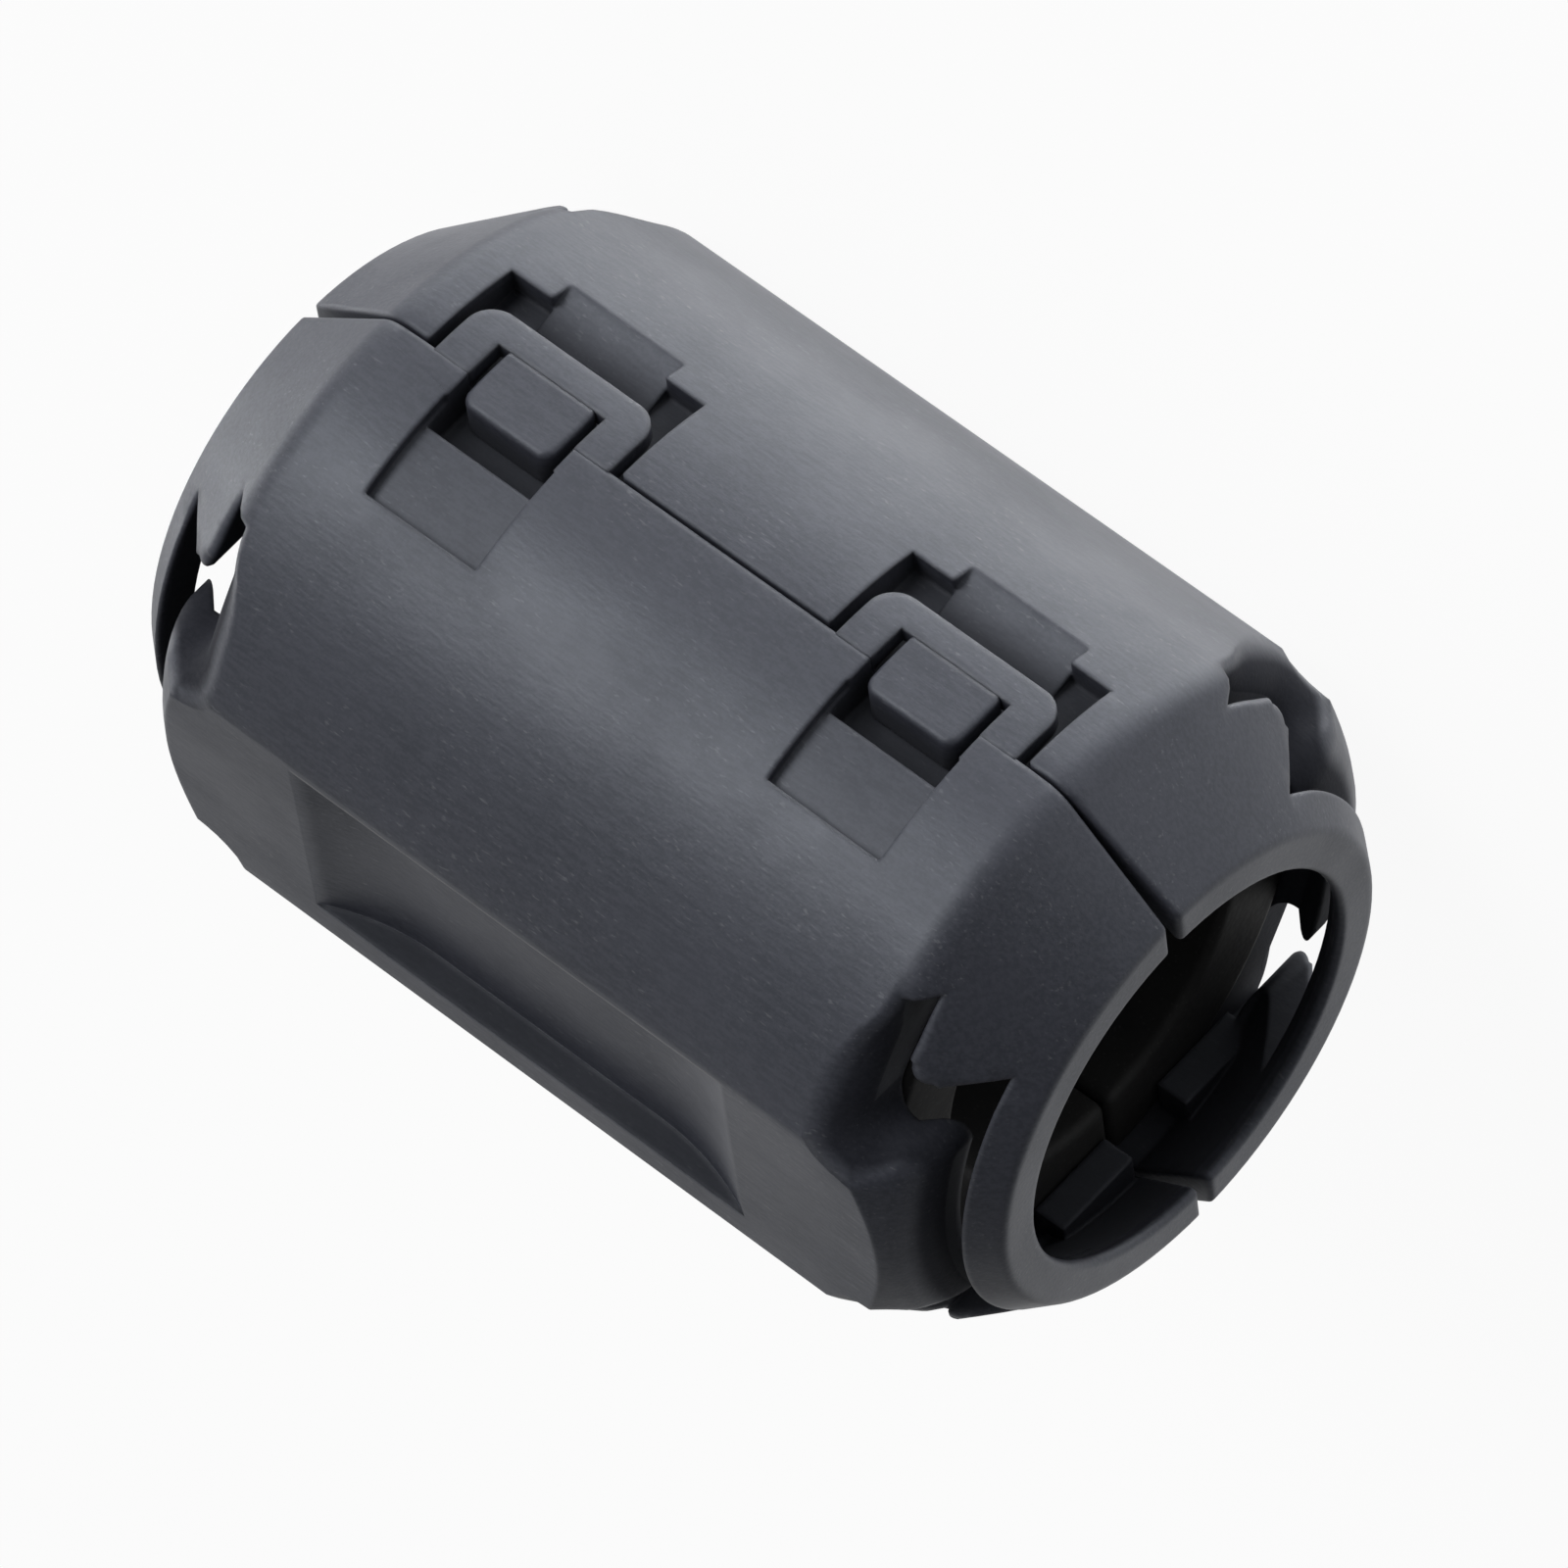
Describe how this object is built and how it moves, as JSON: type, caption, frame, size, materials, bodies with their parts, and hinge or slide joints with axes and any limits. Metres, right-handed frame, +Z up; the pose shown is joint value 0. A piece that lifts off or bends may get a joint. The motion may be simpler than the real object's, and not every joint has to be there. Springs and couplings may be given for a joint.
{
  "type": "clip on ferrite bead",
  "caption": "Round black plastic case that snaps shut over a cable and holds a split ferrite core, with a living hinge, snap latches, flats for gripping and slotted conical ends",
  "frame": {"origin": "On the cable axis, half way along the bead, in the plane where the two halves meet", "axes": "+X along the cable, -Y towards the latches, +Y towards the hinge, +Z up through the lid's flat"},
  "size_m": [0.036, 0.0263, 0.0226],
  "materials": {
    "case_plastic": "satin moulded nylon, charcoal black, fine grain along the length",
    "ferrite": "sintered ferrite, dark grey, fine matt grain with ground meeting faces"
  },
  "bodies": {
    "base": {"base_case": "case_plastic", "core_lower": "ferrite", "hinge_strap_left": "case_plastic", "hinge_strap_right": "case_plastic"},
    "lid": {"lid_case": "case_plastic", "core_upper": "ferrite"},
    "loop_left": {"latch_loop_left": "case_plastic"},
    "loop_right": {"latch_loop_right": "case_plastic"}
  },
  "joints": [
    {"name": "lid_hinge", "type": "hinge", "parent": "base", "child": "lid", "pos_m": [0, 0.0128, 0], "axis": [-1, 0, 0], "range_deg": [0, 180], "deforming": ["hinge_strap_left", "hinge_strap_right", "latch_loop_left", "latch_loop_right"]},
    {"name": "latch_left_flex", "type": "hinge", "parent": "lid", "child": "loop_left", "pos_m": [-0.00835, -0.0123, 0], "axis": [-1, 0, 0], "range_deg": [0, 30], "stiffness_Nm_per_rad": 0.05},
    {"name": "latch_right_flex", "type": "hinge", "parent": "lid", "child": "loop_right", "pos_m": [0.00835, -0.0123, 0], "axis": [-1, 0, 0], "range_deg": [0, 30], "stiffness_Nm_per_rad": 0.05}
  ]
}
